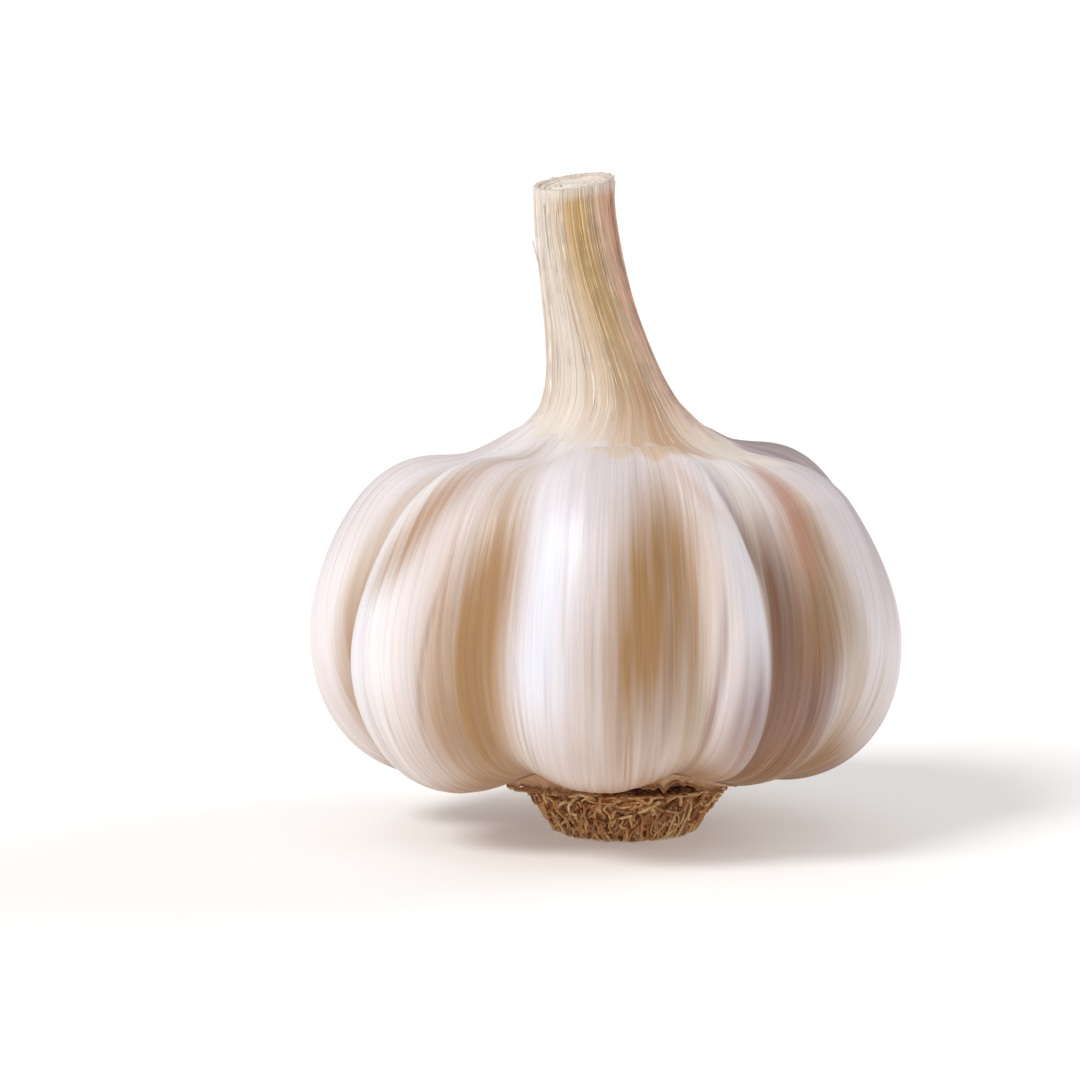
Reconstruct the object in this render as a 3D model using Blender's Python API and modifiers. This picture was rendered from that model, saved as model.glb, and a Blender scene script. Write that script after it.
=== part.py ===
"""A garlic bulb standing on its root plate, as a Blender script: metres, +Z up, front towards -Y.

The origin is the middle of the flat spot that the bulb rests on. Two pieces make the bulb:
  bulb       the papery skin drawn tight over the ring of cloves and up into the cut neck
  root_tuft  the corky root plate with the cropped roots that grow from it
"""

import math
import random

import bmesh
import bpy
import numpy as np

MM = 0.001

# The ring of cloves. Azimuth is measured from the front, positive towards +X. Reach is how far the
# clove stands out from the bulb's heart, breadth is across it, and foot and tip are the heights of
# its two ends. Lean is how far it tilts to the right, in degrees, seen from outside the bulb.
#    azimuth reach breadth foot  tip  lean
CLOVES = (
    (-1.5, 30.7, 25.0, 7.4, 41.2, 0),
    (25.5, 31.0, 11.0, 8.0, 41.0, -7),
    (49.5, 28.0, 20.5, 6.2, 38.8, -7),
    (82, 30.2, 17.5, 5.6, 38.0, -6),
    (111, 29.6, 19.0, 5.4, 39.2, -3),
    (144, 30.0, 19.0, 5.4, 38.2, 3),
    (175, 28.6, 18.0, 5.6, 37.0, -4),
    (205, 30.0, 19.0, 5.2, 37.0, 4),
    (235, 28.8, 17.5, 5.4, 37.4, -3),
    (267, 30.3, 19.5, 5.4, 38.6, 8),
    (312, 29.8, 24.5, 6.0, 39.5, 6),
)
CLOVE_DEPTH = 24 * MM  # the same clove measured from the heart outwards
CLOVE_TAPER = 0.13  # its share of girth lost at the tip, and gained at the foot
HEART = (-2.0 * MM, 0.0, 22 * MM)  # the cloves' common middle, a little left of the root plate

# The flesh inside the ring, which the skin meets only under the neck and round the root plate
CORE_RADIUS = 22 * MM
CORE_BOTTOM = 4 * MM
CORE_TOP = 42 * MM

# The neck: the dried leaf sheaths, which flare into the shoulders and lean to the left and forwards
NECK_TOP = 67 * MM
NECK_RADIUS = 3.8 * MM
NECK_FLARE = 0.3 * MM  # added to the radius at FLARE_HEIGHT, and e times more for each FLARE_FALL down
FLARE_HEIGHT = 60 * MM
FLARE_FALL = 6.8 * MM
NECK_FOOT = 35 * MM  # the flare ends here, inside the cloves
NECK_START = 1.5 * MM  # how far right of the heart the neck leaves the shoulders
NECK_SWAY = (-4.8 * MM, -2.8 * MM)  # how far the cut end then leans over
NECK_RIBS = 24
RIB_HEIGHT = 0.12 * MM
CUT_SLOPE = (math.tan(math.radians(8)), math.tan(math.radians(8)))  # it rises to the right and the back
# The sheaths in the cut end, one inside another: share of the neck's radius, and depth below the rim
CUT_LAYERS = ((0.9, 0.0), (0.8, 0.7), (0.66, 0.7), (0.58, 0.1), (0.46, 0.2), (0.4, 0.8), (0.2, 0.6))

# How tightly the skin is drawn over the creases between cloves: a larger value fills them more
SKIN_SLACK = 0.8 * MM
SHOULDER_SLACK = 1.0 * MM  # added on the shoulders, where the creases run out towards the neck
SHOULDER_RISE = (28 * MM, 38 * MM)  # between these heights the shoulders' share of slack comes in,
SHOULDER_END = (41 * MM, 50 * MM)  # and between these it goes out again
SKIN_LIMIT = 40 * MM  # no point of the skin is further than this from where its ray starts
HALVINGS = 24  # how often a ray is halved to find the skin

# The mesh of the skin: meridians round the bulb, and rays from the heart and from the neck's axis
MERIDIANS = 96
SEAT_RADIUS = 9.8 * MM  # the flat spot under the bulb that the root plate grows on
SEAT_HEIGHT = 6.0 * MM
SEAT_RINGS = (0.4, 0.75, 1.0)
BODY_RAYS = 24
LOWEST_RAY = math.radians(-54)
HIGHEST_RAY = math.radians(60)
NECK_RAYS = 11

# The root plate: a corky disc, narrowing to the flat spot that the bulb stands on
PLATE_TOP = SEAT_HEIGHT - 0.3 * MM
PLATE_EDGE = 4.9 * MM  # where the plate is widest
PLATE_PROFILE = (  # radius, height
    (0.0, PLATE_TOP),
    (8.6 * MM, PLATE_TOP),
    (9.4 * MM, PLATE_EDGE),
    (8.6 * MM, 3.0 * MM),
    (7.2 * MM, 1.2 * MM),
    (6.4 * MM, 0.0),
    (0.0, 0.0),
)
PLATE_SIDES = 40

# The cropped roots, in rings round the plate: height where they leave it, how many, and how long
ROOT_RINGS = (
    (4.7 * MM, 26, 2.2 * MM),
    (3.7 * MM, 26, 2.5 * MM),
    (2.5 * MM, 24, 1.9 * MM),
    (1.4 * MM, 18, 1.4 * MM),
)
ROOT_RADIUS = 0.55 * MM
ROOT_CLEARANCE = 0.7 * MM  # the lowest that a root's middle line comes, so that it stays off the surface
ROOT_SUNK = 1.2 * MM  # how deep it starts inside the plate
ROOT_CURL = 1.1 * MM  # how far it strays from a straight line
ROOT_TWIST = 4.0  # how far round it curls, in radians
ROOT_DROOP = (0.1, 0.45)  # how far its tip hangs, least and most, as a share of its length
ROOT_STEPS = (0.0, 0.35, 0.7, 1.0)  # the points along it, as shares of its length
ROOT_SEED = 12

SKIN_COLOUR = (0.80, 0.74, 0.72, 1.0)
ROOT_COLOUR = (0.23, 0.12, 0.045, 1.0)


def clear_scene():
    for obj in list(bpy.data.objects):
        bpy.data.objects.remove(obj, do_unlink=True)


def new_collection(name):
    collection = bpy.data.collections.new(name)
    bpy.context.scene.collection.children.link(collection)
    return collection


def make_material(name, colour, roughness):
    material = bpy.data.materials.new(name)
    material.use_nodes = True
    shader = material.node_tree.nodes["Principled BSDF"]
    shader.inputs["Base Color"].default_value = colour
    shader.inputs["Roughness"].default_value = roughness
    shader.inputs["Metallic"].default_value = 0.0
    return material


def smooth(value, low, high):
    """0 below low, 1 above high, and an S-curve between them."""
    share = np.clip((value - low) / (high - low), 0.0, 1.0)
    return share * share * (3 - 2 * share)


def neck_axis(height):
    """The x and y of the neck's middle at each height: straight up from the cloves, then leaning over."""
    sway = smooth(height, NECK_FOOT, NECK_TOP)
    shift = NECK_START * np.clip(height / NECK_FOOT, 0.0, 1.0)
    return HEART[0] + shift + NECK_SWAY[0] * sway, HEART[1] + NECK_SWAY[1] * sway


def distance_to_ellipsoid(offset, halves):
    """About how far points lie outside an ellipsoid, given their offset from its middle."""
    scaled = offset / halves
    size = np.linalg.norm(scaled, axis=-1)
    steepness = np.linalg.norm(scaled / halves, axis=-1)
    return size * (size - 1.0) / np.maximum(steepness, 1e-9)


def distance_to_clove(points, clove):
    azimuth, reach, breadth, foot, tip, lean = clove
    angle = math.radians(azimuth)
    outward = np.array((math.sin(angle), -math.cos(angle), 0.0))
    sideways = np.array((math.cos(angle), math.sin(angle), 0.0))
    half_height = (tip - foot) / 2 * MM
    offset = points - np.array((HEART[0], HEART[1], (foot + tip) / 2 * MM))
    rise = offset[..., 2]
    girth = 1 - CLOVE_TAPER * np.clip(rise / half_height, -1.0, 1.0)
    along = (offset @ outward - (reach * MM - CLOVE_DEPTH / 2)) / girth
    across = (offset @ sideways - rise * math.tan(math.radians(lean))) / girth
    local = np.stack((along, across, rise), axis=-1)
    return distance_to_ellipsoid(local, np.array((CLOVE_DEPTH / 2, breadth / 2 * MM, half_height)))


def distance_to_core(points):
    middle = np.array((HEART[0], HEART[1], (CORE_BOTTOM + CORE_TOP) / 2))
    halves = np.array((CORE_RADIUS, CORE_RADIUS, (CORE_TOP - CORE_BOTTOM) / 2))
    return distance_to_ellipsoid(points - middle, halves)


def distance_to_neck(points):
    height = np.maximum(points[..., 2], NECK_FOOT)
    axis_x, axis_y = neck_axis(height)
    x, y = points[..., 0] - axis_x, points[..., 1] - axis_y
    flare = NECK_FLARE * np.exp((FLARE_HEIGHT - height) / FLARE_FALL)
    steepness = np.hypot(1.0, flare / FLARE_FALL)
    ribs = RIB_HEIGHT * np.cos(NECK_RIBS * np.arctan2(y, x))
    beside = (np.hypot(x, y) - NECK_RADIUS - flare - ribs) / steepness
    return np.maximum(beside, NECK_FOOT - points[..., 2])


def distance_to_skin(points):
    """Below zero inside the skin: the cloves, the core and the neck, blended where they meet."""
    shapes = [distance_to_clove(points, clove) for clove in CLOVES]
    shapes += [distance_to_core(points), distance_to_neck(points)]
    height = points[..., 2]
    shoulder = smooth(height, *SHOULDER_RISE) * (1 - smooth(height, *SHOULDER_END))
    slack = SKIN_SLACK + SHOULDER_SLACK * shoulder
    return -slack * np.log(sum(np.exp(-shape / slack) for shape in shapes))


def meet_skin(origins, directions):
    """Where each ray from inside the bulb comes out through the skin, found by halving."""
    near = np.zeros(origins.shape[:-1])
    far = np.full(origins.shape[:-1], SKIN_LIMIT)
    for _ in range(HALVINGS):
        middle = (near + far) / 2
        inside = distance_to_skin(origins + directions * middle[..., None]) < 0
        near, far = np.where(inside, middle, near), np.where(inside, far, middle)
    return origins + directions * far[..., None]


def ring_of_rays(height, slope):
    """A ray from the bulb's middle at this height along each meridian, rising by slope."""
    around = np.arange(MERIDIANS) * math.tau / MERIDIANS
    directions = np.stack((np.cos(around), np.sin(around), np.full(MERIDIANS, slope)), axis=-1)
    directions /= np.linalg.norm(directions, axis=-1, keepdims=True)
    x, y = neck_axis(height)
    return np.broadcast_to(np.array((x, y, height)), directions.shape), directions


def seat_rings():
    """The flat spot under the bulb, round the root plate's middle."""
    around = np.arange(MERIDIANS) * math.tau / MERIDIANS
    for share in SEAT_RINGS:
        radius = SEAT_RADIUS * share
        height = np.full(MERIDIANS, SEAT_HEIGHT)
        yield np.stack((radius * np.cos(around), radius * np.sin(around), height), axis=-1)


def body_rings():
    """The lobes, from the root plate over the belly to the shoulders."""
    for step in range(BODY_RAYS):
        rise = LOWEST_RAY + (HIGHEST_RAY - LOWEST_RAY) * step / (BODY_RAYS - 1)
        yield meet_skin(*ring_of_rays(HEART[2], math.tan(rise)))


def neck_rings():
    """The neck, on rays that start higher and lie flatter up to the slanting cut."""
    for step in range(1, NECK_RAYS + 1):
        share = step / NECK_RAYS
        height = HEART[2] + (NECK_TOP - HEART[2]) * share
        ring = meet_skin(*ring_of_rays(height, math.tan(HIGHEST_RAY) * (1 - share)))
        ring[:, 2] += (ring[:, :2] - neck_axis(height)) @ CUT_SLOPE * share**2
        yield ring


def cut_rings(rim):
    """The sheaths seen end on in the cut neck."""
    middle = rim.mean(axis=0)
    for share, depth in CUT_LAYERS:
        yield middle + (rim - middle) * share - np.array((0.0, 0.0, depth * MM))


def make_bulb(material):
    """Takes a sphere as the blank, and moves its parallels onto the rings of the skin."""
    rings = [*seat_rings(), *body_rings(), *neck_rings()]
    rings += cut_rings(rings[-1])
    rows = len(rings) + 1
    blank = bmesh.new()
    bmesh.ops.create_uvsphere(blank, u_segments=MERIDIANS, v_segments=rows, radius=1.0)
    for vertex in blank.verts:
        row = round((math.asin(max(-1.0, min(1.0, vertex.co.z))) / math.pi + 0.5) * rows)
        column = round(math.atan2(vertex.co.y, vertex.co.x) / math.tau * MERIDIANS) % MERIDIANS
        if row == 0:
            vertex.co = (0.0, 0.0, SEAT_HEIGHT)
        elif row == rows:
            vertex.co = rings[-1].mean(axis=0)
        else:
            vertex.co = rings[row - 1][column]
    mesh = bpy.data.meshes.new("bulb")
    blank.to_mesh(mesh)
    blank.free()
    mesh.materials.append(material)
    mesh.shade_smooth()
    mesh.set_sharp_from_angle(angle=math.radians(50))
    return bpy.data.objects.new("bulb", mesh)


def make_plate(material):
    """The root plate, turned from its profile."""
    mesh = bpy.data.meshes.new("root_tuft")
    points = [(radius, 0.0, height) for radius, height in PLATE_PROFILE]
    mesh.from_pydata(points, [(i, i + 1) for i in range(len(points) - 1)], [])
    mesh.materials.append(material)
    plate = bpy.data.objects.new("root_tuft", mesh)
    turn = plate.modifiers.new("turn", "SCREW")
    turn.steps = turn.render_steps = PLATE_SIDES
    turn.use_merge_vertices = True
    turn.merge_threshold = 0.00001
    turn.use_smooth_shade = False
    return plate


def plate_radius(height):
    heights = [h for _, h in PLATE_PROFILE[1:-1]][::-1]
    radii = [r for r, _ in PLATE_PROFILE[1:-1]][::-1]
    return float(np.interp(height, heights, radii))


def root_path(azimuth, height, length, rng):
    """One root: out of the plate, then curling sideways and drooping, all above the surface."""
    outward = np.array((math.cos(azimuth), math.sin(azimuth), 0.0))
    sideways = np.array((-math.sin(azimuth), math.cos(azimuth), 0.0))
    start = plate_radius(height)
    phase = rng.uniform(0, math.tau)
    curl = ROOT_CURL * rng.uniform(0.6, 1.0)
    droop = length * rng.uniform(*ROOT_DROOP)
    path = [outward * (start - ROOT_SUNK) + np.array((0.0, 0.0, height))]
    for share in ROOT_STEPS:
        turn = phase + share * ROOT_TWIST
        reach = start + length * share * (1 - share / 4)
        point = outward * reach + sideways * curl * share * math.cos(turn)
        rise = height - droop * share + curl * share / 2 * math.sin(turn)
        point[2] = min(max(rise, ROOT_CLEARANCE), PLATE_EDGE)
        path.append(point)
    return path


def make_root(name, path, collection):
    """A root as a tube with closed ends, made a mesh so that it can be joined."""
    curve = bpy.data.curves.new(name, "CURVE")
    curve.dimensions = "3D"
    curve.bevel_depth = ROOT_RADIUS
    curve.bevel_resolution = 0
    curve.use_fill_caps = True
    spline = curve.splines.new("POLY")
    spline.points.add(len(path) - 1)
    for place, point in zip(spline.points, path):
        place.co = (*point, 1.0)
    guide = bpy.data.objects.new(name, curve)
    collection.objects.link(guide)
    bpy.context.view_layer.update()
    mesh = bpy.data.meshes.new_from_object(guide.evaluated_get(bpy.context.evaluated_depsgraph_get()))
    bpy.data.objects.remove(guide, do_unlink=True)
    tube = bmesh.new()
    tube.from_mesh(mesh)
    bmesh.ops.remove_doubles(tube, verts=tube.verts, dist=0.00001)
    bmesh.ops.recalc_face_normals(tube, faces=tube.faces)
    tube.to_mesh(mesh)
    tube.free()
    collection.objects.link(bpy.data.objects.new(name, mesh))


def join_roots(plate, roots):
    """Fuses the roots with the plate they grow from, as one solid."""
    join = plate.modifiers.new("join", "BOOLEAN")
    join.operation = "UNION"
    join.solver = "EXACT"
    join.operand_type = "COLLECTION"
    join.collection = roots
    bpy.context.view_layer.update()
    fused = bpy.data.meshes.new_from_object(plate.evaluated_get(bpy.context.evaluated_depsgraph_get()))
    plate.modifiers.clear()
    plate.data = fused
    plate.data.name = "root_tuft"
    for root in list(roots.objects):
        bpy.data.objects.remove(root, do_unlink=True)
    bpy.data.collections.remove(roots)


def make_root_tuft(parts, material):
    rng = random.Random(ROOT_SEED)
    plate = make_plate(material)
    parts.objects.link(plate)
    roots = new_collection("roots_to_join")
    for ring, (height, count, length) in enumerate(ROOT_RINGS):
        for step in range(count):
            azimuth = (step + 0.5 * (ring % 2) + rng.uniform(-0.25, 0.25)) * math.tau / count
            path = root_path(azimuth, height, length * rng.uniform(0.75, 1.1), rng)
            make_root(f"root_{ring}_{step}", path, roots)
    join_roots(plate, roots)
    return plate


def main():
    clear_scene()
    parts = new_collection("garlic_bulb")
    parts.objects.link(make_bulb(make_material("papery_skin", SKIN_COLOUR, 0.5)))
    make_root_tuft(parts, make_material("dried_root", ROOT_COLOUR, 0.85))


main()
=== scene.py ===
"""The looks of a whole garlic bulb standing on its cropped roots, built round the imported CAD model.

Metres, +Z up, the front towards -Y. The sections follow the bulb from its skin inwards and down: the
papery skin over the cloves, the leaf sheaths in the cut neck, the dry strands on the neck, the torn
skin round the root plate, the plate, and the roots. The floor, the light and the camera come last.
"""

import math

import bpy
import numpy as np
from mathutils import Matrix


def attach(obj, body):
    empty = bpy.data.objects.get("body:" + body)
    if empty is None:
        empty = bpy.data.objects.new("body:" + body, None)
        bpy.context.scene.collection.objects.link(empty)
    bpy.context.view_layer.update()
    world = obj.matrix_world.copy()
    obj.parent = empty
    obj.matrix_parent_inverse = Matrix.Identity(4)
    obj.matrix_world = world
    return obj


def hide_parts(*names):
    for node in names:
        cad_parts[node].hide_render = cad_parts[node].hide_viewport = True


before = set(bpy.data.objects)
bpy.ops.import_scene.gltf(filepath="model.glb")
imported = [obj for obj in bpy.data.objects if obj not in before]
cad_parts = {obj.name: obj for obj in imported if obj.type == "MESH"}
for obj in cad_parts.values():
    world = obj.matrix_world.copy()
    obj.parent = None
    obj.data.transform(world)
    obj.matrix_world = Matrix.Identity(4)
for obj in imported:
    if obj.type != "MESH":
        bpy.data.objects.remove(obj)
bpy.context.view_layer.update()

# The papery skin.
# The dried outer leaves of the bulb, drawn tight over eleven cloves and up into the neck, where they
# stand as the leaf sheaths that were cut off. They are thin, stiff and silky, with veins lengthwise.

MM = 0.001

#    azimuth from the front, how far it stands out, breadth, heights of its foot and tip, and lean
CLOVES = (
    (-1.5, 30.7, 25.0, 7.4, 41.2, 0),
    (25.5, 31.0, 11.0, 8.0, 41.0, -7),
    (49.5, 28.0, 20.5, 6.2, 38.8, -7),
    (82, 30.2, 17.5, 5.6, 38.0, -6),
    (111, 29.6, 19.0, 5.4, 39.2, -3),
    (144, 30.0, 19.0, 5.4, 38.2, 3),
    (175, 28.6, 18.0, 5.6, 37.0, -4),
    (205, 30.0, 19.0, 5.2, 37.0, 4),
    (235, 28.8, 17.5, 5.4, 37.4, -3),
    (267, 30.3, 19.5, 5.4, 38.6, 8),
    (312, 29.8, 24.5, 6.0, 39.5, 6),
)
CLOVE_DEPTH = 24 * MM
CLOVE_TAPER = 0.13
HEART = (-2.0 * MM, 0.0, 22 * MM)
CORE_RADIUS = 22 * MM
CORE_BOTTOM = 4 * MM
CORE_TOP = 42 * MM
NECK_TOP = 67 * MM
NECK_RADIUS = 3.8 * MM
NECK_FLARE = 0.3 * MM
FLARE_HEIGHT = 60 * MM
FLARE_FALL = 6.8 * MM
NECK_FOOT = 35 * MM
NECK_START = 1.5 * MM
NECK_SWAY = (-4.8 * MM, -2.8 * MM)
CUT_SLOPE = (math.tan(math.radians(8)), math.tan(math.radians(8)))
SKIN_SLACK = 0.8 * MM
SHOULDER_SLACK = 1.0 * MM
SHOULDER_RISE = (28 * MM, 38 * MM)
SHOULDER_END = (41 * MM, 50 * MM)
SKIN_LIMIT = 40 * MM
HALVINGS = 22

MERIDIANS = 432
SEAT_RADIUS = 9.4 * MM
SEAT_HEIGHT = 6.0 * MM
SEAT_ROWS = 4
BODY_ROWS = 112
NECK_ROWS = 104
LOWEST_RAY = math.radians(-54)
HIGHEST_RAY = math.radians(60)
RIM_THICKNESS = 0.45 * MM
RIM_DEPTH = 2.2 * MM  # how far down inside the cut neck the inner sheaths start
RIM_ROWS = 6

TURNS = np.arange(MERIDIANS) * math.tau / MERIDIANS
AZIMUTHS = (np.degrees(TURNS) + 90 + 180) % 360 - 180
OUTWARDS = np.stack((np.cos(TURNS), np.sin(TURNS), np.zeros(MERIDIANS)), axis=-1)
UP = np.array((0.0, 0.0, 1.0))


def smooth(value, low, high):
    """0 below low, 1 above high, and an S-curve between them."""
    share = np.clip((value - low) / (high - low), 0.0, 1.0)
    return share * share * (3 - 2 * share)


def neck_axis(height):
    """Where the middle of the neck is at each height, and below it that of the bulb."""
    sway = smooth(height, NECK_FOOT, NECK_TOP)
    shift = NECK_START * np.clip(height / NECK_FOOT, 0.0, 1.0)
    return HEART[0] + shift + NECK_SWAY[0] * sway, HEART[1] + NECK_SWAY[1] * sway


def distance_to_ellipsoid(offset, halves):
    """About how far points lie outside an ellipsoid, given their offset from its middle."""
    scaled = offset / halves
    size = np.linalg.norm(scaled, axis=-1)
    steepness = np.linalg.norm(scaled / halves, axis=-1)
    return size * (size - 1.0) / np.maximum(steepness, 1e-9)


def distance_to_clove(points, clove):
    azimuth, reach, breadth, foot, tip, lean = clove
    angle = math.radians(azimuth)
    outward = np.array((math.sin(angle), -math.cos(angle), 0.0))
    sideways = np.array((math.cos(angle), math.sin(angle), 0.0))
    half_height = (tip - foot) / 2 * MM
    offset = points - np.array((HEART[0], HEART[1], (foot + tip) / 2 * MM))
    rise = offset[..., 2]
    girth = 1 - CLOVE_TAPER * np.clip(rise / half_height, -1.0, 1.0)
    along = (offset @ outward - (reach * MM - CLOVE_DEPTH / 2)) / girth
    across = (offset @ sideways - rise * math.tan(math.radians(lean))) / girth
    local = np.stack((along, across, rise), axis=-1)
    return distance_to_ellipsoid(local, np.array((CLOVE_DEPTH / 2, breadth / 2 * MM, half_height)))


def distance_to_core(points):
    middle = np.array((HEART[0], HEART[1], (CORE_BOTTOM + CORE_TOP) / 2))
    halves = np.array((CORE_RADIUS, CORE_RADIUS, (CORE_TOP - CORE_BOTTOM) / 2))
    return distance_to_ellipsoid(points - middle, halves)


def distance_to_neck(points):
    height = np.maximum(points[..., 2], NECK_FOOT)
    axis_x, axis_y = neck_axis(height)
    flare = NECK_FLARE * np.exp((FLARE_HEIGHT - height) / FLARE_FALL)
    steepness = np.hypot(1.0, flare / FLARE_FALL)
    beside = np.hypot(points[..., 0] - axis_x, points[..., 1] - axis_y) - NECK_RADIUS - flare
    return np.maximum(beside / steepness, NECK_FOOT - points[..., 2])


def distance_to_skin(points):
    """Below zero inside the skin: the cloves, the core and the neck, blended where they meet."""
    shapes = [distance_to_clove(points, clove) for clove in CLOVES]
    shapes += [distance_to_core(points), distance_to_neck(points)]
    height = points[..., 2]
    shoulder = smooth(height, *SHOULDER_RISE) * (1 - smooth(height, *SHOULDER_END))
    slack = SKIN_SLACK + SHOULDER_SLACK * shoulder
    return -slack * np.log(sum(np.exp(-shape / slack) for shape in shapes))


def meet_skin(height, slope):
    """Where the rays from the bulb's middle at this height come out through the skin, by halving."""
    directions = OUTWARDS + slope * UP
    directions /= np.linalg.norm(directions, axis=-1, keepdims=True)
    origins = np.array((*neck_axis(height), height))
    near = np.zeros(MERIDIANS)
    far = np.full(MERIDIANS, SKIN_LIMIT)
    for _ in range(HALVINGS):
        middle = (near + far) / 2
        inside = distance_to_skin(origins + directions * middle[:, None]) < 0
        near, far = np.where(inside, middle, near), np.where(inside, far, middle)
    return origins + directions * far[:, None]


def skin_rows():
    """The skin's surface as rows of points, from the root plate up to the rim of the cut."""
    for step in range(1, SEAT_ROWS + 1):
        yield SEAT_RADIUS * step / SEAT_ROWS * OUTWARDS + SEAT_HEIGHT * UP
    for step in range(BODY_ROWS):
        rise = LOWEST_RAY + (HIGHEST_RAY - LOWEST_RAY) * step / (BODY_ROWS - 1)
        yield meet_skin(HEART[2], math.tan(rise))
    for step in range(1, NECK_ROWS + 1):
        share = step / NECK_ROWS
        height = HEART[2] + (NECK_TOP - HEART[2]) * share
        row = meet_skin(height, math.tan(HIGHEST_RAY) * (1 - share))
        row[:, 2] += (row[:, :2] - neck_axis(height)) @ CUT_SLOPE * share**2
        yield row


def outward_of(grid):
    """Unit normals of a grid of rows of points that is closed round the bulb."""
    across = np.roll(grid, -1, axis=1) - np.roll(grid, 1, axis=1)
    normals = np.cross(across, np.gradient(grid, axis=0))
    return normals / np.linalg.norm(normals, axis=-1, keepdims=True)


def wander(along, round_bumps, spacing, seed):
    """Random relief from -1 to 1: so many bumps round the bulb, and one each spacing along it."""
    rows = int(along.max() / spacing) + 2
    lattice = np.random.default_rng(seed).uniform(-1, 1, (rows, round_bumps))
    place = TURNS / math.tau * round_bumps
    left = place.astype(int)
    share = smooth(place - left, 0, 1)
    lattice = lattice[:, left] * (1 - share) + lattice[:, (left + 1) % round_bumps] * share
    place = along / spacing
    below = place.astype(int)
    share = smooth(place - below, 0, 1)[:, None]
    return lattice[below] * (1 - share) + lattice[below + 1] * share


skin = np.array(list(skin_rows()))
skin_steps = np.linalg.norm(np.diff(skin, axis=0), axis=-1)
skin_arc = np.concatenate((np.zeros((1, MERIDIANS)), np.cumsum(skin_steps, axis=0)))
row_arc = skin_arc.mean(axis=1)
skin_height = skin[..., 2]
belly_radius = np.hypot(skin[..., 0] - HEART[0], skin[..., 1] - HEART[1])

# The pale skin of the lobes ends on the shoulders in a torn edge, and the neck's fibres start there
#    azimuth, and the height of that edge in millimetres
PALE_EDGE = ((-180, 41.0), (-120, 41.6), (-60, 41.8), (-25, 41.4), (0, 41.0), (26, 40.9), (48, 39.3),
             (76, 38.4), (92, 40.6), (135, 42.0), (180, 41.0))
PALE_EDGE_TATTER = 0.7 * MM
edge_azimuths, edge_heights = np.array(PALE_EDGE).T
pale_edge = np.interp(AZIMUTHS, edge_azimuths, edge_heights) * MM
pale_edge = pale_edge + PALE_EDGE_TATTER * wander(row_arc[:1], 72, 10 * MM, 8)[0]
above_edge = skin_height - pale_edge
fibrous = smooth(above_edge, -0.4 * MM, 0.4 * MM)
neck_share = smooth(above_edge, -1.5 * MM, 5 * MM)
foot_share = 1 - smooth(skin_arc, 12 * MM, 27 * MM)

# How deep each place lies in a crease between two cloves, which sets where shade is painted into the skin's
# colour
HOLLOW_SPAN = 21  # meridians each way that a place is compared with
HOLLOW_DEPTH = 1.6 * MM
around_it = sum(np.roll(belly_radius, step, axis=1) for step in range(-HOLLOW_SPAN, HOLLOW_SPAN + 1))
hollow = smooth(around_it / (2 * HOLLOW_SPAN + 1) - belly_radius, 0.0, HOLLOW_DEPTH) * (1 - neck_share)
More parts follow.
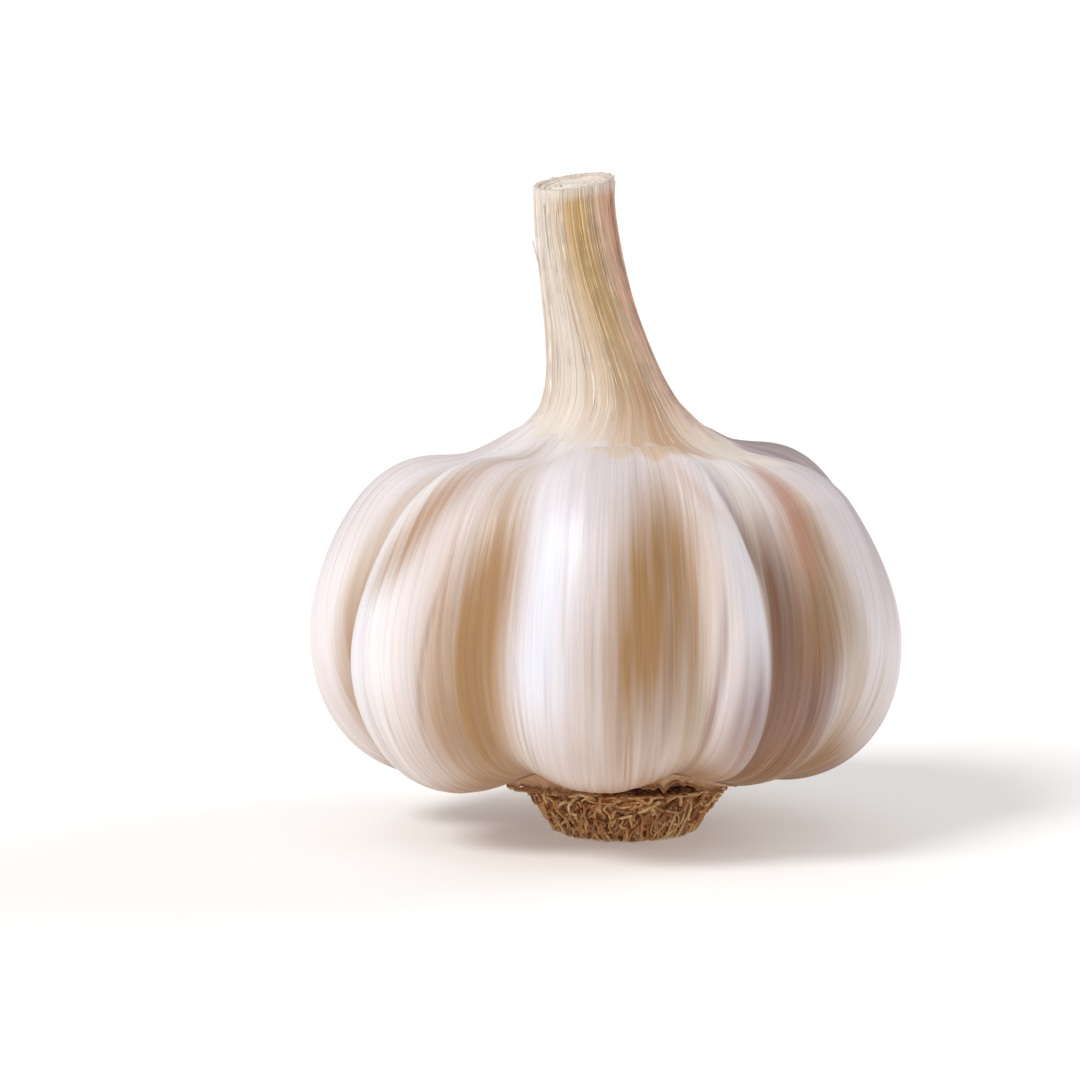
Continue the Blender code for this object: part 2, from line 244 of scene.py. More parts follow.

# Stains of the inner skins and the cloves that show through the outer skin, all lengthwise, with painted
# light and shade: a painted highlight, and painted shade within the tan, brown and mauve
#    azimuth, half breadths to its left and its right, how far its top leans right, lowest and highest
#    point in millimetres, and strength
STAINS_AND_PAINTED_LIGHT = {
    "tan": (
        # tan shows where the clove lies under the skin, and is partly painted shade on the lobes' flanks
        # turned from the key light
        (6.5, 8.2, 9.5, 8, 11, 43, 1.0),
        (4, 14, 13, 6, -4, 38, 0.3),
        (-30, 9.5, 7.3, 13, 0, 42.5, 1.0),
        (-73, 4.5, 5, 12, 0, 35, 0.95),
        (-48, 5.5, 5.5, 20, 24, 43.5, 0.55),
        (-37, 8, 10, 14, 26, 43, 0.1),
        (53, 10, 9, 4, 14, 41, 1.0),
        (54, 18, 16, 0, -9, 17, 0.7),
        (94, 6, 5, 6, 8, 36, 0.5),
        (126, 9, 7, 5, 8, 38, 0.8),
        (160, 6, 8, -4, 9, 35, 0.45),
        (191, 8, 8, 4, 8, 37, 0.85),
        (221, 7, 7, -5, 12, 36, 0.55),
        (251, 9, 7, 8, 7, 37, 0.8),
    ),
    "brown": (
        # the first two are partly painted shadow, where the narrow lobe right of the front one shades its
        # recessed neighbour; the thin ones are brown lines
        (49, 11, 10.5, 3, -6, 35, 0.75),
        (37, 4, 5, 2, 0, 40, 1.0),
        (29, 1.6, 3, -14, 26, 41, 0.6),
        (9.7, 0.6, 0.6, 1.5, 8, 32, 0.4),
        (19.5, 0.9, 0.7, 2, 6, 34, 0.5),
        (0, 0.4, 0.5, 0, 7, 24, 0.3),
        (-40, 0.6, 0.5, 8, 8, 34, 0.3),
        (158, 6, 8, 0, 6, 30, 0.4),
        (222, 6, 9, 3, 5, 31, 0.55),
    ),
    "rust": (
        (54, 9, 7, 2, 26, 42, 1.0),
        (17.5, 2.0, 1.6, -17, 33, 43, 0.3),
        (57, 1.6, 1.4, -14, 28, 41, 0.5),
        (-47, 3, 3, 20, 29, 42, 0.2),
        (236, 7, 7, 0, 27, 37, 0.5),
        (131, 6, 6, 0, 28, 38, 0.35),
    ),
    "mauve": (
        # a purple blush, partly painted shade on the back shoulder and low on the narrow lobe right of the
        # front one
        (100, 26, 28, 0, 17, 63, 0.9),
        (28, 7, 6, 0, -6, 27, 0.85),
        (178, 30, 30, 0, 10, 46, 0.5),
        (-100, 22, 22, 0, 26, 46, 0.3),
        (2, 18, 18, 0, 32, 46, 0.25),
    ),
    "highlight": (
        # a painted highlight: bluish white on the lit crests of the lobes
        (-15, 8, 7, 2, 8, 44, 0.9),
        (-58, 6, 6, 10, 6, 34, 0.4),
        (26, 4, 4, -6, 18, 38, 0.5),
    ),
    "gold": (
        (4, 28, 26, -28, 34, 99, 1.0),
        (160, 36, 36, 20, 34, 99, 0.8),
        (-105, 14, 14, 10, 34, 99, 0.35),
    ),
    "umber": (
        (28, 18, 12.5, -4, 35, 51, 1.0),
        (0, 18, 16, 0, 34, 56, 0.3),
        (86, 18, 20, 0, 37, 56, 0.45),
        (150, 24, 26, 0, 36, 52, 0.5),
    ),
    "rose": (
        (70, 44, 38, -20, 20, 120, 1.0),
        (-140, 34, 34, 0, 20, 120, 0.5),
    ),
}
PATCH_FADE = 0.4  # the share of a patch's length in which it fades in, and out again


def patch_mask(patches):
    """How strongly each place is marked, from a list of lengthwise patches of stain, painted highlight and
    painted shade.
    """
    clear = np.ones(skin_height.shape)
    for azimuth, left, right, lean, low, high, strength in patches:
        rise = (skin_height / MM - low) / (high - low)
        beside = (AZIMUTHS - azimuth - lean * (rise - 0.5) + 180) % 360 - 180
        spread = np.exp(-((beside / np.where(beside < 0, left, right)) ** 2))
        length = smooth(rise, 0.0, PATCH_FADE) * (1 - smooth(rise, 1 - PATCH_FADE, 1.0))
        clear = clear * (1 - strength * spread * length)
    return 1 - clear


skin_marks = {label: patch_mask(patches) for label, patches in STAINS_AND_PAINTED_LIGHT.items()}
skin_marks["highlight"] *= 1 - fibrous
skin_marks["gold"] *= fibrous
skin_marks["umber"] *= fibrous
skin_marks["rose"] *= smooth(above_edge, 0, 7 * MM)
skin_marks["fibrous"] = fibrous
skin_marks["neck"] = neck_share
skin_marks["foot"] = foot_share
skin_marks["sole"] = 1 - smooth(skin_arc, 18 * MM, 24.5 * MM)
skin_marks["low"] = 1 - smooth(skin_height, 8 * MM, 21 * MM)
skin_marks["hollow"] = hollow

# Relief on the skin: broad dents, lengthwise pleats that gather at both ends, and overlapping sheaths
gathered = np.maximum(1 - smooth(skin_arc, 10 * MM, 19 * MM),
                      smooth(skin_height, 34 * MM, 41 * MM) * (1 - neck_share))
#    depth in millimetres, bumps round the bulb, millimetres between them along it, seed, and where
RELIEFS = (
    (0.16, 17, 9, 1, 1 - neck_share),
    (0.07, 96, 26, 2, 1 - neck_share),
    (0.035, 200, 12, 3, 1 - neck_share),
    (0.13, 110, 9, 4, gathered),
    (0.12, 26, 15, 5, neck_share),
    (0.05, 84, 11, 6, neck_share),
)
SUNKEN = 0.4 * MM  # how far the skin has sunk where it is tan or brown
SPANNED = 0.25 * MM  # how far it spans a crease, clear of the cloves
PALE_EDGE_STEP = 0.2 * MM
SHEATH_STEP = 0.3 * MM
#    azimuths of the free edges of the sheaths round the neck
SHEATH_EDGES = (-27, 38, 118, 205)
EDGE_DRIFT = 16  # degrees that a free edge turns round the neck from the shoulders to the cut
EDGE_WAVER = 4  # degrees that it strays from that line

relief = sum(depth * MM * wander(row_arc, bumps, spacing * MM, seed) * where
             for depth, bumps, spacing, seed, where in RELIEFS)
relief -= SUNKEN * np.maximum(skin_marks["tan"], skin_marks["brown"])
relief += SPANNED * hollow
relief += PALE_EDGE_STEP * (1 - fibrous) * smooth(above_edge, -8 * MM, -0.5 * MM)

climb = smooth(skin_height, 38 * MM, NECK_TOP)
edge_drift = EDGE_DRIFT * (climb - 0.5) + EDGE_WAVER * wander(row_arc, 1, 7 * MM, 7)
edges = [*SHEATH_EDGES, SHEATH_EDGES[0] + 360]
for start, end in zip(edges, edges[1:]):
    place = (AZIMUTHS + edge_drift - start) % 360 / (end - start)
    relief += np.where(place < 1, SHEATH_STEP * (smooth(place, 0.0, 0.05) - place), 0) * neck_share

ease = smooth(row_arc, 9 * MM, 12 * MM)[:, None]
skin = skin + outward_of(skin) * (relief * ease)[..., None]
rim = skin[-1]
rim_middle = rim.mean(axis=0)
skin_normals = outward_of(skin)


def with_poles(values):
    """The rows of a grid as one list, and after it the mean of its first row and of its last."""
    poles = values[[0, -1]].mean(axis=1)
    return np.concatenate((values.reshape(-1, *values.shape[2:]), poles))


def grid_faces(rows, looped=False):
    """Faces between rows of points round the bulb. In a loop, the last row is joined to the first."""
    row, column = np.meshgrid(np.arange(rows if looped else rows - 1), np.arange(MERIDIANS), indexing="ij")
    below, above = row * MERIDIANS, (row + 1) % rows * MERIDIANS
    beside = (column + 1) % MERIDIANS
    faces = np.stack((below + column, below + beside, above + beside, above + column), axis=-1)
    return faces.reshape(-1, 4).tolist()


def new_object(name, data):
    """An object of its own in the scene, at the origin."""
    thing = bpy.data.objects.new(name, data)
    bpy.context.scene.collection.objects.link(thing)
    return thing


def grid_mesh(name, grid, attributes, material, looped=False):
    """A closed body from rows of points round the bulb. Its ends are closed by poles, or joined."""
    faces = grid_faces(len(grid), looped)
    if not looped:
        foot = len(grid) * MERIDIANS
        last = foot - MERIDIANS
        faces += [(foot, (c + 1) % MERIDIANS, c) for c in range(MERIDIANS)]
        faces += [(foot + 1, last + c, last + (c + 1) % MERIDIANS) for c in range(MERIDIANS)]
    mesh = bpy.data.meshes.new(name)
    in_order = (lambda values: values.reshape(-1, *values.shape[2:])) if looped else with_poles
    mesh.from_pydata(in_order(grid).tolist(), [], faces)
    for label, values in attributes.items():
        is_vector = values.ndim == 3
        layer = mesh.attributes.new(label, "FLOAT_VECTOR" if is_vector else "FLOAT", "POINT")
        flat = in_order(values).astype(np.float32).ravel()
        layer.data.foreach_set("vector" if is_vector else "value", flat)
    mesh.materials.append(material)
    mesh.shade_smooth()
    return new_object(name, mesh)


def paint(code):
    """An sRGB hex colour as the linear colour that a material takes."""
    parts = [int(code[place:place + 2], 16) / 255 for place in (1, 3, 5)]
    linear = [part / 12.92 if part <= 0.04045 else ((part + 0.055) / 1.055) ** 2.4 for part in parts]
    return (*linear, 1.0)


def feed(tree, node, inputs):
    """Sets a node's inputs to values, or links them to sockets or to other nodes' first outputs."""
    for name, value in inputs.items():
        if isinstance(value, bpy.types.Node):
            value = value.outputs[0]
        if isinstance(value, bpy.types.NodeSocket):
            tree.links.new(value, node.inputs[name])
        else:
            node.inputs[name].default_value = value


def add(tree, kind, inputs=None, **settings):
    """Adds a node to a tree, with its settings, values and links."""
    node = tree.nodes.new(kind)
    for name, value in settings.items():
        setattr(node, name, value)
    feed(tree, node, inputs or {})
    return node


def new_material(name, constants):
    """A material, its tree and its shader, which is given what is the same all over the surface."""
    material = bpy.data.materials.new(name)
    material.use_nodes = True
    shader = material.node_tree.nodes["Principled BSDF"]
    feed(material.node_tree, shader, constants)
    return material, material.node_tree, shader


PEARL = "#F7F2F2"
LAVENDER = "#DCD0DB"
BLUSH = "#F0DEDC"
CREAM = "#E6D5C3"
BEIGE = "#BFA184"
GOLDEN = "#B27C48"
MAUVE = "#8A6E72"
BROWN = "#85482E"
TAN = "#B68A52"
DEEP_TAN = "#926638"
DEEP_BROWN = "#5C2E1C"
RUST = "#C47E5C"
# the colour of a painted highlight
PAINTED_HIGHLIGHT = "#EAEDF9"
# painted shade in the creases between the cloves
CREASE_SHADE = "#A07C60"
NECK_PALE = "#EFE5DB"
NECK_STRAW = "#E2D0BE"
NECK_ROSE = "#F4B090"
NECK_GOLD = "#ECC684"
NECK_BROWN = "#B4844E"
NECK_UMBER = "#C39A78"
VEIN = "#B0886A"
BELLY = 28.0  # millimetres: the radius at which the grain is at its true scale

# Each layer of the skin's colour goes over the one before. Its colour, the mark that it follows or
# None, the streaks that break it up or None, and how much of it there is
SKIN_LAYERS = (
    (LAVENDER, None, "broad", 0.55),
    (BLUSH, None, "middle", 0.28),
    (CREAM, None, "fine", 0.18),
    # painted highlight on the lobes' lit crests
    (PAINTED_HIGHLIGHT, "highlight", "middle", 0.75),
    # painted shade: the creases between the cloves go cream
    (CREAM, "hollow", "middle", 0.75),
    # purple blush, partly painted shade
    (MAUVE, "mauve", "middle", 0.85),
    # beige towards the bottom and the roots: partly the skin's own browning, partly painted shade under the
    # lobes
    (BEIGE, "low", "middle", 0.36),
    (BEIGE, "foot", "fine", 0.75),
    (GOLDEN, "foot", "broad", 0.55),
    (DEEP_TAN, "sole", "fine", 0.75),
    # brown, partly painted shadow in the crease beside the narrow front lobe
    (BROWN, "brown", "middle", 0.9),
    # tan, partly painted shade on the flanks turned from the light
    (TAN, "tan", "middle", 0.95),
    (DEEP_TAN, "tan", "fine", 0.45),
    (DEEP_BROWN, "brown", "fine", 0.45),
    (RUST, "rust", "middle", 0.7),
    # painted shade, browner in the creases
    (CREASE_SHADE, "hollow", "fine", 0.3),
    (NECK_PALE, "fibrous", None, 1.0),
    (NECK_STRAW, "neck", "broad", 0.55),
    (NECK_ROSE, "rose", "middle", 1.0),
    (NECK_GOLD, "gold", "middle", 0.95),
    (NECK_BROWN, "gold", "fine", 0.35),
    (NECK_UMBER, "umber", "middle", 0.85),
)
#    width in millimetres round the belly, and how many times as long they are
STREAKS = {"broad": (4.0, 12), "veins": (2.4, 26), "middle": (1.3, 22), "fine": (0.45, 40), "hair": (0.2, 50)}


def dry_garlic_skin():
    """Dried leaf skin of garlic: thin, silky and a little see-through, so that it looks pearly over air
    and tan where it lies on the clove. Its colour also holds a painted highlight on the lit crests, and
    painted shade in the creases, low down and on the flanks turned from the light. Veins run
    lengthwise, 1 to 2 mm apart round the belly."""
    material, tree, shader = new_material("dry_garlic_skin", {
        "IOR": 1.45, "Subsurface Weight": 0.18, "Subsurface Radius": (1.0, 0.62, 0.42),
        "Subsurface Scale": 1.2 * MM, "Sheen Weight": 0.12, "Sheen Roughness": 0.4})
    marks = {label: add(tree, "ShaderNodeAttribute", attribute_name=label).outputs["Fac"]
             for label in skin_marks}
    grain = add(tree, "ShaderNodeAttribute", attribute_name="grain").outputs["Vector"]

    streaks = {}
    for label, (width, stretch) in STREAKS.items():
        drawn = add(tree, "ShaderNodeVectorMath", {0: grain, 1: (1, 1, 1 / stretch)}, operation="MULTIPLY")
        streaks[label] = add(tree, "ShaderNodeTexNoise",
                             {"Vector": drawn, "Scale": 1 / width, "Detail": 2.0, "Roughness": 0.55})

    # Veins: the thin lines along which a stretched noise has its middle value, so that they fork and join
    off = add(tree, "ShaderNodeMath", {0: streaks["veins"], 1: 0.5}, operation="SUBTRACT")
    off = add(tree, "ShaderNodeMath", {0: off}, operation="ABSOLUTE")
    line = add(tree, "ShaderNodeMapRange", {0: off, 1: 0.0, 2: 0.03, 3: 1.0, 4: 0.0},
               interpolation_type="SMOOTHSTEP")
    some = add(tree, "ShaderNodeMapRange", {0: streaks["middle"], 1: 0.35, 2: 0.6})
    vein = add(tree, "ShaderNodeMath", {0: line, 1: some}, operation="MULTIPLY")

    layers = []
    for code, mark, streak, amount in SKIN_LAYERS:
        if mark and streak:
            # a streak raises or lowers the mark, so that its soft edge breaks into strands
            raised = add(tree, "ShaderNodeMapRange", {0: streaks[streak], 1: 0.3, 2: 0.7, 3: 0.65, 4: 1.35})
            raised = add(tree, "ShaderNodeMath", {0: raised, 1: marks[mark]}, operation="MULTIPLY")
            strength = add(tree, "ShaderNodeMapRange", {0: raised, 1: 0.02, 2: 0.9, 3: 0.0, 4: amount})
        elif mark:
            strength = marks[mark]
        else:
            strength = add(tree, "ShaderNodeMapRange",
                           {0: streaks[streak], 1: 0.34, 2: 0.66, 3: 0.0, 4: amount})
        layers.append((code, strength))

    # Brown fibres lie among the pale ones of the neck
    fibres = add(tree, "ShaderNodeMapRange", {0: streaks["veins"], 1: 0.5, 2: 0.64, 3: 0.0, 4: 0.42})
    fibres = add(tree, "ShaderNodeMath", {0: fibres, 1: marks["neck"]}, operation="MULTIPLY")
    layers.append((NECK_BROWN, fibres))

    # Veins show least on the white of the lobes, and most towards the roots and over the tan
    shown = add(tree, "ShaderNodeMath", {0: marks["low"], 1: 0.55, 2: 0.14}, operation="MULTIPLY_ADD")
    shown = add(tree, "ShaderNodeMath", {0: marks["tan"], 1: 0.25, 2: shown}, operation="MULTIPLY_ADD")
    shown = add(tree, "ShaderNodeMath", {0: vein, 1: shown}, operation="MULTIPLY")
    layers.append((VEIN, shown))

    colour = paint(PEARL)
    for code, amount in layers:
        colour = add(tree, "ShaderNodeMix", {0: amount, 6: colour, 7: paint(code)},
                     data_type="RGBA").outputs[2]
    hair = add(tree, "ShaderNodeMapRange", {0: streaks["hair"], 1: 0.3, 2: 0.7, 3: 0.94, 4: 1.04})
    colour = add(tree, "ShaderNodeMix", {0: 1.0, 6: colour, 7: hair},
                 data_type="RGBA", blend_type="MULTIPLY").outputs[2]

    # The silk of dry skin, duller on the fibrous neck
    dull = add(tree, "ShaderNodeMapRange", {0: streaks["fine"], 1: 0.3, 2: 0.7, 3: 0.36, 4: 0.54})
    dull = add(tree, "ShaderNodeMath", {0: marks["neck"], 1: 0.16, 2: dull}, operation="MULTIPLY_ADD")

    # Relief too fine for the mesh: crackle like tissue paper, hair-fine fibres, and the veins
    where = add(tree, "ShaderNodeTexCoord").outputs["Object"]
    crackle = add(tree, "ShaderNodeTexNoise",
                  {"Vector": where, "Scale": 420.0, "Detail": 4.0, "Roughness": 0.6, "Distortion": 0.4})
    bump = add(tree, "ShaderNodeBump", {"Height": crackle, "Strength": 0.28, "Distance": 0.25 * MM})
    finer = ((streaks["middle"], 0.4, 0.3), (streaks["fine"], 0.5, 0.2), (vein, 0.5, 0.06))
    for height, strength, depth in finer:
        bump = add(tree, "ShaderNodeBump",
                   {"Height": height, "Strength": strength, "Distance": depth * MM, "Normal": bump})
    feed(tree, shader, {"Base Color": colour, "Roughness": dull, "Normal": bump})
    return material


inner_steps = np.linspace(0, 1, RIM_ROWS)[:, None, None]
inner_wall = rim_middle + (rim - rim_middle) * (1 - RIM_THICKNESS / NECK_RADIUS)
inner_wall = inner_wall - inner_steps * np.array((0, 0, RIM_DEPTH))
skin_marks["grain"] = BELLY * OUTWARDS + (skin_arc / MM)[..., None] * UP
PALE_RIM = (0.5 * MM, 1.7 * MM)  # how far below the cut it starts to take on its colours, and has them
by_the_rim = 1 - smooth(skin_arc[-1] - skin_arc, *PALE_RIM)
RIM_FADE = 0.75  # the share of the neck's colours that is lost there
for label in ("gold", "umber", "rose", "neck"):
    skin_marks[label] *= 1 - RIM_FADE * by_the_rim
over_the_rim = {label: np.concatenate((values, np.repeat(values[-1:], RIM_ROWS, axis=0)))
                for label, values in skin_marks.items()}
bulb_skin = grid_mesh("bulb_skin", np.concatenate((skin, inner_wall)), over_the_rim, dry_garlic_skin())
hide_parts("bulb")
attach(bulb_skin, "root")

# The leaf sheaths in the cut neck.
# Dried leaf bases, one inside another, that were cut across with shears. Their ends are pale, dull
# and fibrous, and each has shrunk a little away from the next as it dried.

SHEATH_SIZES = {
    "Sheaths": 6,
    "Points": 128,
    "Neck radius": NECK_RADIUS,
    "First": 0.8 * MM,  # from the outside of the neck to the middle of the first sheath
    "Spacing": 0.52 * MM,
    "Wall": 0.49 * MM,
    "Depth": 1.7 * MM,
    "Rounding": 0.12 * MM,
    "Unevenness": 0.3 * MM,
    "Shortfall": 0.3 * MM,  # the most that a sheath's end lies below the rim
    "Seed": 5,
}
SOCKETS = {int: "NodeSocketInt", float: "NodeSocketFloat", tuple: "NodeSocketVector"}


def new_tree(name, sizes):
    """An empty Geometry Nodes tree, with a named input for each size and one for the material."""
    tree = bpy.data.node_groups.new(name, "GeometryNodeTree")
    tree.interface.new_socket("Geometry", in_out="INPUT", socket_type="NodeSocketGeometry")
    tree.interface.new_socket("Geometry", in_out="OUTPUT", socket_type="NodeSocketGeometry")
    for label, value in sizes.items():
        tree.interface.new_socket(label, in_out="INPUT", socket_type=SOCKETS[type(value)])
    tree.interface.new_socket("Material", in_out="INPUT", socket_type="NodeSocketMaterial")
    return tree, tree.nodes.new("NodeGroupInput").outputs


def end_tree(tree, mesh, material):
    """Ends a tree: smooth shading, real geometry in place of instances, and the material."""
    last = add(tree, "GeometryNodeSetShadeSmooth", {"Geometry": mesh})
    last = add(tree, "GeometryNodeRealizeInstances", {"Geometry": last})
    last = add(tree, "GeometryNodeSetMaterial", {"Geometry": last, "Material": material})
    add(tree, "NodeGroupOutput", {0: last})


def grow(name, base, tree, sizes, material):
    """Runs a tree on a base mesh, and keeps the result as a plain mesh in an object of its own."""
    guide = new_object(name + "_base", base)
    modifier = guide.modifiers.new(name, "NODES")
    modifier.node_group = tree
    given = {**sizes, "Material": material}
    for socket in tree.interface.items_tree:
        if socket.in_out == "INPUT" and socket.name in given:
            modifier[socket.identifier] = given[socket.name]
    depsgraph = bpy.context.evaluated_depsgraph_get()
    mesh = bpy.data.meshes.new_from_object(guide.evaluated_get(depsgraph), depsgraph=depsgraph)
    mesh.name = name
    guide.modifiers.remove(modifier)
    bpy.data.objects.remove(guide)
    return new_object(name, mesh)


def sheath_tree():
    """Copies of the rim, each drawn in towards its middle, swept with a rounded upright wall."""
    tree, given = new_tree("leaf_sheaths", SHEATH_SIZES)
    loop = add(tree, "GeometryNodeMeshToCurve", {"Mesh": given["Geometry"]})
    even = add(tree, "GeometryNodeResampleCurve", {"Curve": loop, "Count": given["Points"]})
    copies = add(tree, "GeometryNodeDuplicateElements",
                 {"Geometry": even, "Amount": given["Sheaths"]}, domain="SPLINE")
    number = copies.outputs["Duplicate Index"]
    inset = add(tree, "ShaderNodeMath", {0: number, 1: given["Spacing"], 2: given["First"]},
                operation="MULTIPLY_ADD")
    place = add(tree, "GeometryNodeInputPosition")
    other = add(tree, "ShaderNodeMath", {0: number, 1: given["Seed"]}, operation="ADD")
    noise = add(tree, "ShaderNodeTexNoise", {"Vector": place, "W": other, "Scale": 260.0, "Detail": 1.0},
                noise_dimensions="4D")
    uneven = add(tree, "ShaderNodeMath", {0: noise, 1: 0.5}, operation="SUBTRACT")
    inset = add(tree, "ShaderNodeMath", {0: uneven, 1: given["Unevenness"], 2: inset},
                operation="MULTIPLY_ADD")
    share = add(tree, "ShaderNodeMath", {0: inset, 1: given["Neck radius"]}, operation="DIVIDE")
    inward = add(tree, "ShaderNodeVectorMath", {0: tuple(rim_middle), 1: place}, operation="SUBTRACT")
    inward = add(tree, "ShaderNodeVectorMath", {0: inward, "Scale": share}, operation="SCALE")
    shortfall = add(tree, "FunctionNodeRandomValue",
                    {2: 0.0, 3: given["Shortfall"], "ID": number, "Seed": given["Seed"]}, data_type="FLOAT")
    drop = add(tree, "ShaderNodeMath", {0: given["Depth"], 1: -0.5}, operation="MULTIPLY")
    drop = add(tree, "ShaderNodeMath", {0: drop, 1: shortfall.outputs[1]}, operation="SUBTRACT")
    drop = add(tree, "ShaderNodeCombineXYZ", {"Z": drop})
    shift = add(tree, "ShaderNodeVectorMath", {0: inward, 1: drop}, operation="ADD")
    moved = add(tree, "GeometryNodeSetPosition", {"Geometry": copies, "Offset": shift})
    shade = add(tree, "FunctionNodeRandomValue",
                {2: 0.0, 3: 1.0, "ID": number, "Seed": given["Sheaths"]}, data_type="FLOAT")
    marked = add(tree, "GeometryNodeStoreNamedAttribute",
                 {"Geometry": moved, "Name": "shade", "Value": shade.outputs[1]})
    upright = add(tree, "GeometryNodeSetCurveNormal", {"Curve": marked}, mode="Z_UP")
    wall = add(tree, "GeometryNodeCurvePrimitiveQuadrilateral",
               {"Width": given["Wall"], "Height": given["Depth"]})
    wall = add(tree, "GeometryNodeFilletCurve",
               {"Curve": wall, "Count": 3, "Radius": given["Rounding"]}, mode="POLY")
    rings = add(tree, "GeometryNodeCurveToMesh", {"Curve": upright, "Profile Curve": wall})
    end_tree(tree, rings, given["Material"])
    return tree


def cut_leaf_ends():
    """Cut across the leaf: matt and pale, a little pinker or browner from sheath to sheath, and finely
    dotted with the ends of the fibres, 0.3 mm apart, drawn as coarse as they need to show."""
    material, tree, shader = new_material("cut_leaf_ends", {"Roughness": 0.75})
    shade = add(tree, "ShaderNodeAttribute", attribute_name="shade").outputs["Fac"]
    where = add(tree, "ShaderNodeTexCoord").outputs["Object"]
    dots = add(tree, "ShaderNodeTexVoronoi", {"Vector": where, "Scale": 3200.0}).outputs["Distance"]
    blotch = add(tree, "ShaderNodeTexNoise", {"Vector": where, "Scale": 700.0, "Detail": 2.0})
    patch = add(tree, "ShaderNodeMapRange", {0: blotch, 1: 0.45, 2: 0.7, 3: 0.0, 4: 0.6})
    spot = add(tree, "ShaderNodeMapRange", {0: dots, 1: 0.1, 2: 0.5, 3: 0.3, 4: 0.0})
    colour = paint("#F8F1EA")
    for code, amount in (("#EADCCF", shade), ("#D6BEA6", patch), ("#B89C80", spot)):
        colour = add(tree, "ShaderNodeMix", {0: amount, 6: colour, 7: paint(code)},
                     data_type="RGBA").outputs[2]
    bump = add(tree, "ShaderNodeBump", {"Height": dots, "Strength": 0.5, "Distance": 0.1 * MM})
    feed(tree, shader, {"Base Color": colour, "Normal": bump})
    return material


rim_loop = bpy.data.meshes.new("rim_loop")
rim_loop.from_pydata(rim.tolist(), [(c, (c + 1) % MERIDIANS) for c in range(MERIDIANS)], [])
leaf_sheaths = grow("leaf_sheaths", rim_loop, sheath_tree(), SHEATH_SIZES, cut_leaf_ends())
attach(leaf_sheaths, "root")

# The dry strands on the neck.
# Veins of the outermost leaf that stand up where it has shrunk between them, and a few that have split
# away. They are hard, straw coloured to gold, and grown in one with the skin for most of their length.

STRANDS = 230
STRAND_POINTS = 22
STRAND_FOOT = (38.5, 59.0)  # millimetres: the heights between which a strand starts
STRAND_CLEAR = 0.8  # millimetres: how far above the torn edge of the pale skin
STRAND_LENGTH = (6.0, 24.0)  # millimetres
STRAND_GIRTH = (0.04, 0.09)  # millimetres: its radius
STRAND_TURN = 5.0  # degrees that it strays round the neck, at most
STRAND_BEND = 0.7  # degrees that it waves from side to side
SPRUNG = 0.12  # the share of strands with an end that has sprung away,
SPRUNG_ABOVE = 47  # millimetres: and the height from which they have
SPRING = 0.6  # millimetres that such an end stands off
STRAND_SIZES = {"Sides": 6}
FIRST_STRAND_ROW = SEAT_ROWS + BODY_ROWS - 24


def read_grid(grid, row, column):
    """Values of a grid at fractional rows and meridians."""
    low = np.minimum(row.astype(int), len(grid) - 2)
    left = np.floor(column).astype(int)
    up, along = row - low, column - left
    if grid.ndim == 3:
        up, along = up[:, None], along[:, None]
    left, right = left % MERIDIANS, (left + 1) % MERIDIANS
    below = grid[low, left] * (1 - along) + grid[low, right] * along
    above = grid[low + 1, left] * (1 - along) + grid[low + 1, right] * along
    return below * (1 - up) + above * up


def strand_guides():
    """Every strand as a polyline on the skin, with its radius and its colours at each point."""
    rng = np.random.default_rng(21)
    rows = np.arange(FIRST_STRAND_ROW, len(skin))
    share = np.linspace(0, 1, STRAND_POINTS)
    guides = {"place": [], "girth": [], "tone": [], "gold": [], "rose": []}
    for _ in range(STRANDS):
        start = rng.uniform(0, MERIDIANS)
        foot = max(rng.uniform(*STRAND_FOOT), pale_edge[int(start) % MERIDIANS] / MM + STRAND_CLEAR)
        top = min(foot + rng.uniform(*STRAND_LENGTH), NECK_TOP / MM + 2)
        turn = rng.uniform(-1, 1) * STRAND_TURN * share
        turn = turn + STRAND_BEND * np.sin(share * rng.uniform(2, 7) + start)
        column = start + turn * MERIDIANS / 360
        heights = np.maximum.accumulate(skin[rows, int(start) % MERIDIANS, 2])
        row = np.interp((foot + (top - foot) * share) * MM, heights, rows)
        girth = rng.uniform(*STRAND_GIRTH) * MM * (0.35 + 0.65 * smooth(share, 0, 0.25))
        sunk = (1 - smooth(share, 0, 0.12)) + smooth(share, 0.9, 1.0)
        lift = girth * (0.3 - 1.4 * sunk)
        if rng.uniform() < SPRUNG and foot > SPRUNG_ABOVE:
            end = share if rng.uniform() < 0.5 else 1 - share
            lift = lift + SPRING * MM * rng.uniform(0.3, 1.0) * smooth(end, 0.72, 1.05) ** 1.5 + girth * sunk
        normals = read_grid(skin_normals, row, column)
        guides["place"].append(read_grid(skin, row, column) + normals * lift[:, None])
        guides["girth"].append(girth)
        guides["tone"].append(np.full(STRAND_POINTS, rng.uniform()))
        for label in ("gold", "rose"):
            guides[label].append(read_grid(skin_marks[label], row, column))
    return {label: np.concatenate(values) for label, values in guides.items()}


def strand_tree():
    """A tube along each polyline, as thick at each point as its girth says."""
    tree, given = new_tree("dry_strands", STRAND_SIZES)
    lines = add(tree, "GeometryNodeMeshToCurve", {"Mesh": given["Geometry"]})
    ring = add(tree, "GeometryNodeCurvePrimitiveCircle", {"Resolution": given["Sides"], "Radius": 1.0})
    girth = add(tree, "GeometryNodeInputNamedAttribute", {"Name": "girth"}, data_type="FLOAT")
    tubes = add(tree, "GeometryNodeCurveToMesh",
                {"Curve": lines, "Profile Curve": ring, "Scale": girth, "Fill Caps": True})
    end_tree(tree, tubes, given["Material"])
    return tree


